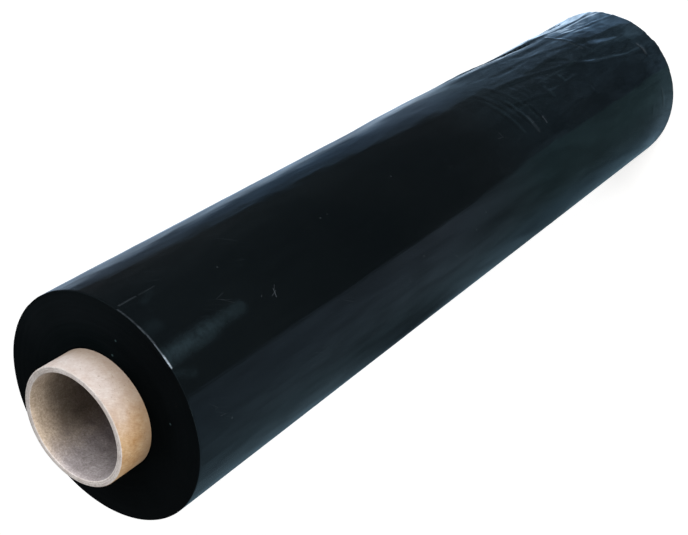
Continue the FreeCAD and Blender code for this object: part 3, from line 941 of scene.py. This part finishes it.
def reflection_board():
    """A graded board that only reflections see: dark in front, paler to the left and the right.

    It stands for the studio that the film mirrors. Its angles in degrees and its heights are those
    of the film where the camera sees each place mirrored."""
    board, tree = flat_sheet("reflection_board", 5.0, 1 * MM)
    for rays in ("camera", "diffuse", "transmission", "volume_scatter", "shadow"):
        setattr(board, "visible_" + rays, False)
    place = tree.nodes.new("ShaderNodeTexCoord").outputs["Object"]

    angle, height = mirrored_place(tree, place)
    degrees = calc(tree, "MULTIPLY", angle, 180 / math.pi)
    up = calc(tree, "MULTIPLY", height, 1 / (550 * MM))
    cloud = noise(tree, place, 16.0, detail=4.0, distortion=0.8)
    mottle = noise(tree, place, 95.0, detail=4.0, roughness=0.6, distortion=1.2)

    def soft(value, middle, width):
        """One at the middle, fading out over the width to both sides."""
        share = calc(tree, "DIVIDE", calc(tree, "SUBTRACT", value, middle), width)
        return calc(tree, "EXPONENT", product(tree, share, share, -1.0))

    front = colours(
        tree, up,
        (0.06, (0.10, 0.16, 0.22)), (0.15, (0.095, 0.14, 0.19)), (0.38, (0.10, 0.14, 0.175)),
        (0.47, (0.065, 0.07, 0.08)), (0.64, (0.02, 0.025, 0.03)), (0.73, (0.025, 0.03, 0.035)),
        (0.80, (0.060, 0.066, 0.072)), (0.90, (0.098, 0.102, 0.112)),
    )
    across = calc(tree, "MULTIPLY_ADD", degrees, -1 / 75.0, -107.0 / 75.0)
    upper = colours(
        tree, across,
        (0.00, (0.35, 0.37, 0.46)), (0.10, (0.30, 0.34, 0.43)), (0.28, (0.26, 0.34, 0.42)),
        (0.48, (0.17, 0.26, 0.32)), (0.80, (0.11, 0.18, 0.23)),
    )
    lower = colours(
        tree, across,
        (0.00, (0.135, 0.24, 0.27)), (0.16, (0.105, 0.19, 0.21)), (0.33, (0.08, 0.14, 0.16)),
        (0.55, (0.075, 0.135, 0.18)), (0.80, (0.09, 0.15, 0.19)),
    )
    left = blend_colours(tree, step_up(tree, height, 190 * MM, 340 * MM), lower, upper)
    for at, wide, level, tall, depth in (
        (-158, 18, 348, 54, 0.84), (-124, 7, 270, 42, 0.45), (-162, 14, 190, 60, 0.40), (-144, 14, 394, 32, 0.36),
    ):
        shade = calc(tree, "MULTIPLY", soft(degrees, at, wide), soft(height, level * MM, tall * MM))
        left = vector_scale(tree, left, calc(tree, "MULTIPLY_ADD", shade, -depth, 1.0))
    edge_left = calc(tree, "MULTIPLY_ADD", step_up(tree, height, 200 * MM, 300 * MM), -3.5, -103.5)
    beyond = calc(tree, "SUBTRACT", edge_left, degrees)
    both = blend_colours(tree, step_up(tree, beyond, -0.6, 0.6), front, left)

    wander = calc(tree, "MULTIPLY_ADD", noise(tree, place, 60.0, detail=4.0), 9.0, -4.5)
    edge_right = calc(tree, "MULTIPLY_ADD", height, 0.055 / MM, -63.0)
    inside = calc(tree, "SUBTRACT", calc(tree, "ADD", degrees, wander), edge_right)
    # Behind the roll the left side's colours turn into the right side's, so that no seam shows there.
    behind = step_up(tree, degrees, -188.0, -174.0, 1.0, 0.0)
    right_width = 40.0
    inside = calc(tree, "MAXIMUM", inside, calc(tree, "MULTIPLY", behind, right_width))
    right = colours(
        tree, calc(tree, "DIVIDE", inside, right_width),
        (0.00, (0.0, 0.0, 0.0)), (0.025, (0.055, 0.095, 0.145)), (0.15, (0.08, 0.14, 0.23)),
        (0.40, (0.10, 0.18, 0.29)),
    )
    right = vector_scale(tree, right, step_up(tree, height, 35 * MM, 105 * MM, 2.1, 0.52))
    right = vector_scale(tree, right, step_up(tree, height, 205 * MM, 250 * MM, 1.0, 1.90))
    rim_from = calc(
        tree, "ADD", step_up(tree, height, 190 * MM, 250 * MM, -24.0, -31.0),
        step_up(tree, height, 25 * MM, 110 * MM, -20.0, 0.0),
    )
    rim = calc(tree, "MAXIMUM", behind, step_up(tree, calc(tree, "SUBTRACT", degrees, rim_from), 0.0, 13.0))
    rim = calc(tree, "MULTIPLY", calc(tree, "POWER", rim, 1.5), step_up(tree, height, 395 * MM, 460 * MM, 1.0, 0.70))
    far_part = step_up(tree, height, 150 * MM, 205 * MM, 1.0, 0.0)
    falling = step_up(tree, degrees, -23.5, -18.5, 1.0, 0.30)
    falling = calc(tree, "MINIMUM", falling, calc(tree, "MULTIPLY_ADD", behind, -0.70, 1.0))
    falling = calc(tree, "MAXIMUM", falling, far_part)
    rim = product(tree, rim, falling, calc(tree, "MULTIPLY_ADD", far_part, 0.12, 1.0))
    total = blend_colours(tree, 1.0, both, right, "ADD")
    total = blend_colours(tree, 1.0, total, vector_scale(tree, (0.66, 0.80, 0.96), rim), "ADD")
    for at, wide, level, tall, colour in (
        (-50, 10, 400, 90, (0.030, 0.036, 0.040)), (-70, 13, 70, 60, (0.035, 0.065, 0.090)),
        (-136, 20, 26, 24, (0.17, 0.25, 0.33)), (-132, 15, 84, 40, (0.045, 0.072, 0.086)),
        (-104, 12, 24, 14, (0.06, 0.09, 0.12)), (-24, 9, 244, 34, (0.24, 0.29, 0.35)),
        (-66, 15, 22, 15, (0.07, 0.11, 0.15)), (-72, 12, 196, 30, (0.020, 0.034, 0.042)),
    ):
        glint = calc(tree, "MULTIPLY", soft(degrees, at, wide), soft(height, level * MM, tall * MM))
        total = blend_colours(tree, 1.0, total, vector_scale(tree, colour, glint), "ADD")
    total = vector_scale(tree, total, step_up(tree, cloud, 0.30, 0.70, 0.72, 1.28))
    spread = product(
        tree, step_up(tree, height, 190 * MM, 240 * MM, 1.3, 0.25), step_up(tree, beyond, -2.0, 4.0, 1.0, 0.35),
        step_up(tree, degrees, -15.0, -5.0, 1.0, 0.15), 2.0,
    )
    total = vector_scale(tree, total, calc(tree, "MULTIPLY_ADD", calc(tree, "SUBTRACT", mottle, 0.5), spread, 1.0))
    glow = wire(tree, "ShaderNodeEmission", total, 1.0)
    end = tree.nodes.new("ShaderNodeOutputMaterial")
    tree.links.new(glow, end.inputs["Surface"])


def lamp(name, place, size, power, colour):
    """A soft square lamp aimed at the roll's upper half."""
    light = bpy.data.lights.new(name, "AREA")
    light.shape = "SQUARE"
    light.size = size
    light.energy = power
    light.color = colour
    holder = bpy.data.objects.new(name, light)
    holder.location = place
    holder.rotation_mode = "QUATERNION"
    holder.rotation_quaternion = (Vector((0, 0, 0.4)) - Vector(place)).to_track_quat("-Z", "Y")
    bpy.context.scene.collection.objects.link(holder)


def white_world():
    """A white surround for the camera and for reflections, and a softer light on surfaces."""
    world = bpy.data.worlds.new("surround")
    world.use_nodes = True
    tree = world.node_tree
    tree.nodes.clear()
    strength = calc(tree, "MULTIPLY_ADD", seen_directly(tree), 0.76, 0.24)
    sky = wire(tree, "ShaderNodeBackground", (0.97, 0.985, 1.0, 1.0), strength)
    end = tree.nodes.new("ShaderNodeOutputWorld")
    tree.links.new(sky, end.inputs["Surface"])
    bpy.context.scene.world = world


def set_camera():
    """The photograph's viewpoint: above the roll's upper end, looking down along it."""
    data = bpy.data.cameras.new("camera")
    data.sensor_width = 36.0
    data.lens = 65.85
    camera = bpy.data.objects.new("camera", data)
    # The picture's own right and up in the room: the roll's upper end lies to the lower left.
    right = Vector((-0.5501, -0.6062, -0.5744))
    up = Vector((0.8351, -0.3997, -0.3780))
    back = right.cross(up).normalized()
    up = back.cross(right).normalized()
    turn = Matrix((right.normalized(), up, back)).transposed()
    camera.matrix_world = Matrix.Translation(CAMERA_PLACE) @ turn.to_4x4()
    bpy.context.scene.collection.objects.link(camera)
    bpy.context.scene.camera = camera


set_camera()
make_film_roll()
make_core_tube()
white_floor()
reflection_board()
white_world()
lamp("key", (0.75, -1.75, 1.03), 0.95, 31.0, (1.0, 0.985, 0.97))
lamp("side", (1.7, 0.1, 1.05), 1.0, 12.0, (0.92, 0.965, 1.0))
lamp("fill", (-1.4, -1.0, 0.95), 1.0, 13.5, (1.0, 0.96, 0.90))

bpy.context.scene.view_settings.view_transform = "Standard"
